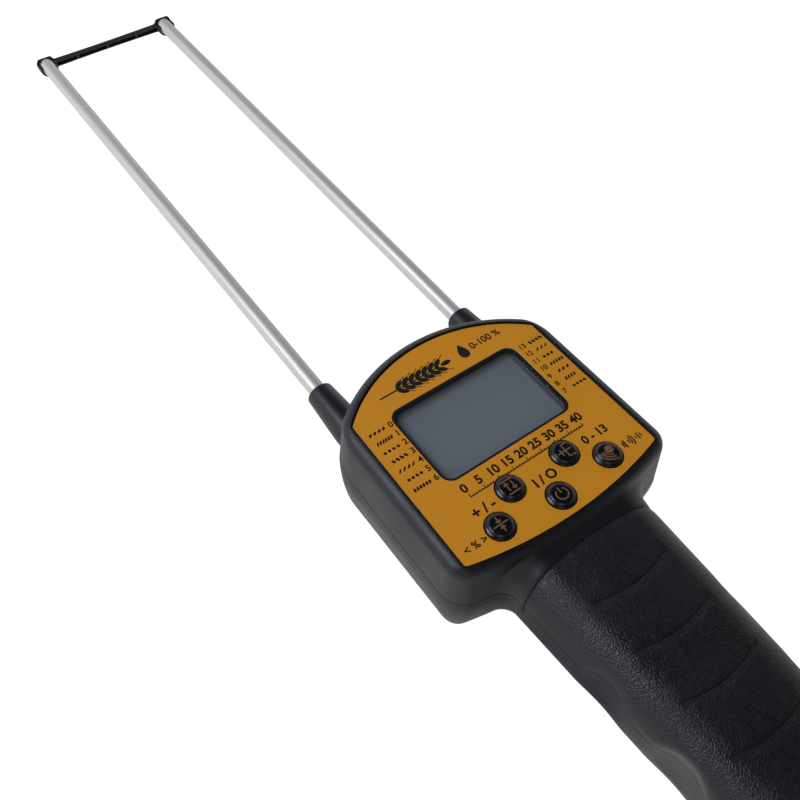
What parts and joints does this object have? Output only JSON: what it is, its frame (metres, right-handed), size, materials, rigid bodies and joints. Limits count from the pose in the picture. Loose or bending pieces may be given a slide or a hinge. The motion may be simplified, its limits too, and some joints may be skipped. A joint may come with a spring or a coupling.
{
  "type": "grain moisture meter",
  "caption": "Hand-held grain moisture meter: a head with a display and domed keys, a finger grip, and two long steel probes joined by a spacer at their tips.",
  "frame": {"origin": "under the middle of the whole length, on the plane that the back rests on", "axes": "+X to the right of the face, +Y to the probe tips, +Z out of the face"},
  "size_m": [0.0936, 0.465, 0.0465],
  "materials": {
    "housing": "satin black ABS with a fine spark texture, and leather grain on the grip",
    "label": "amber printed polycarbonate overlay with fine satin sheen",
    "window": "clear acrylic pane",
    "lcd": "grey-green liquid crystal panel behind a polariser",
    "lcd_frame": "black moulded holder",
    "reflector": "white film",
    "elastomer": "layered conductive silicone",
    "key": "glossy black domes with tan symbols",
    "silicone": "grey silicone",
    "carbon": "carbon-filled pill",
    "board": "green solder mask",
    "chip": "moulded epoxy",
    "can": "drawn metal can",
    "screw": "zinc-plated steel",
    "speaker_steel": "plated steel",
    "speaker_film": "polyester film",
    "wire": "PVC insulation",
    "collar": "smooth black nylon",
    "probe": "drawn stainless tube with fine lines along its length",
    "terminal": "plated brass",
    "spacer": "black moulded nylon",
    "holder": "black moulded holder",
    "cell": "printed steel jacket",
    "contact": "nickel-plated spring steel"
  },
  "bodies": {
    "meter": {"upper_housing": "housing", "lower_housing": "housing", "face_label": "label", "display_window": "window", "lcd_holder": "lcd_frame", "lcd_glass": "lcd", "lcd_reflector": "reflector", "zebra_strips": "elastomer", "keypad_mat": "silicone", "main_board": "board", "controller_chip": "chip", "voice_chip": "chip", "crystal": "can", "capacitors": "can", "board_screws": "screw", "speaker_frame": "speaker_steel", "speaker_cone": "speaker_film", "speaker_magnet": "speaker_steel", "speaker_wires": "wire", "probe_collar_left": "collar", "probe_collar_right": "collar", "probe_rod_left": "probe", "probe_rod_right": "probe", "probe_terminals": "terminal", "probe_nuts": "terminal", "probe_wires": "wire", "tip_spacer": "spacer", "battery_holder": "holder", "battery_springs": "contact", "battery_contacts": "contact", "battery_wires": "wire", "housing_screws": "screw", "battery_cell_1": "cell", "battery_cell_2": "cell", "battery_cell_3": "cell", "battery_cell_4": "cell", "skirt_power": "silicone", "skirt_limit": "silicone", "skirt_adjust": "silicone", "skirt_varieties": "silicone", "skirt_voice": "silicone"},
    "power_key": {"key_power": "key", "pill_power": "carbon"},
    "limit_key": {"key_limit": "key", "pill_limit": "carbon"},
    "adjust_key": {"key_adjust": "key", "pill_adjust": "carbon"},
    "varieties_key": {"key_varieties": "key", "pill_varieties": "carbon"},
    "voice_key": {"key_voice": "key", "pill_voice": "carbon"},
    "battery_door": {"battery_cover": "housing"}
  },
  "joints": [
    {"name": "power_key_press", "type": "slide", "parent": "meter", "child": "power_key", "axis": [0, 0, 1], "range_m": [-0.0009, 0], "stiffness_N_per_m": 1200, "springref_m": 0.0005, "deforming": ["skirt_power"]},
    {"name": "limit_key_press", "type": "slide", "parent": "meter", "child": "limit_key", "axis": [0, 0, 1], "range_m": [-0.0009, 0], "stiffness_N_per_m": 1200, "springref_m": 0.0005, "deforming": ["skirt_limit"]},
    {"name": "adjust_key_press", "type": "slide", "parent": "meter", "child": "adjust_key", "axis": [0, 0, 1], "range_m": [-0.0009, 0], "stiffness_N_per_m": 1200, "springref_m": 0.0005, "deforming": ["skirt_adjust"]},
    {"name": "varieties_key_press", "type": "slide", "parent": "meter", "child": "varieties_key", "axis": [0, 0, 1], "range_m": [-0.0009, 0], "stiffness_N_per_m": 1200, "springref_m": 0.0005, "deforming": ["skirt_varieties"]},
    {"name": "voice_key_press", "type": "slide", "parent": "meter", "child": "voice_key", "axis": [0, 0, 1], "range_m": [-0.0009, 0], "stiffness_N_per_m": 1200, "springref_m": 0.0005, "deforming": ["skirt_voice"]},
    {"name": "battery_door_slide", "type": "slide", "parent": "meter", "child": "battery_door", "axis": [0, -1, 0], "range_m": [0, 0.0695]}
  ]
}
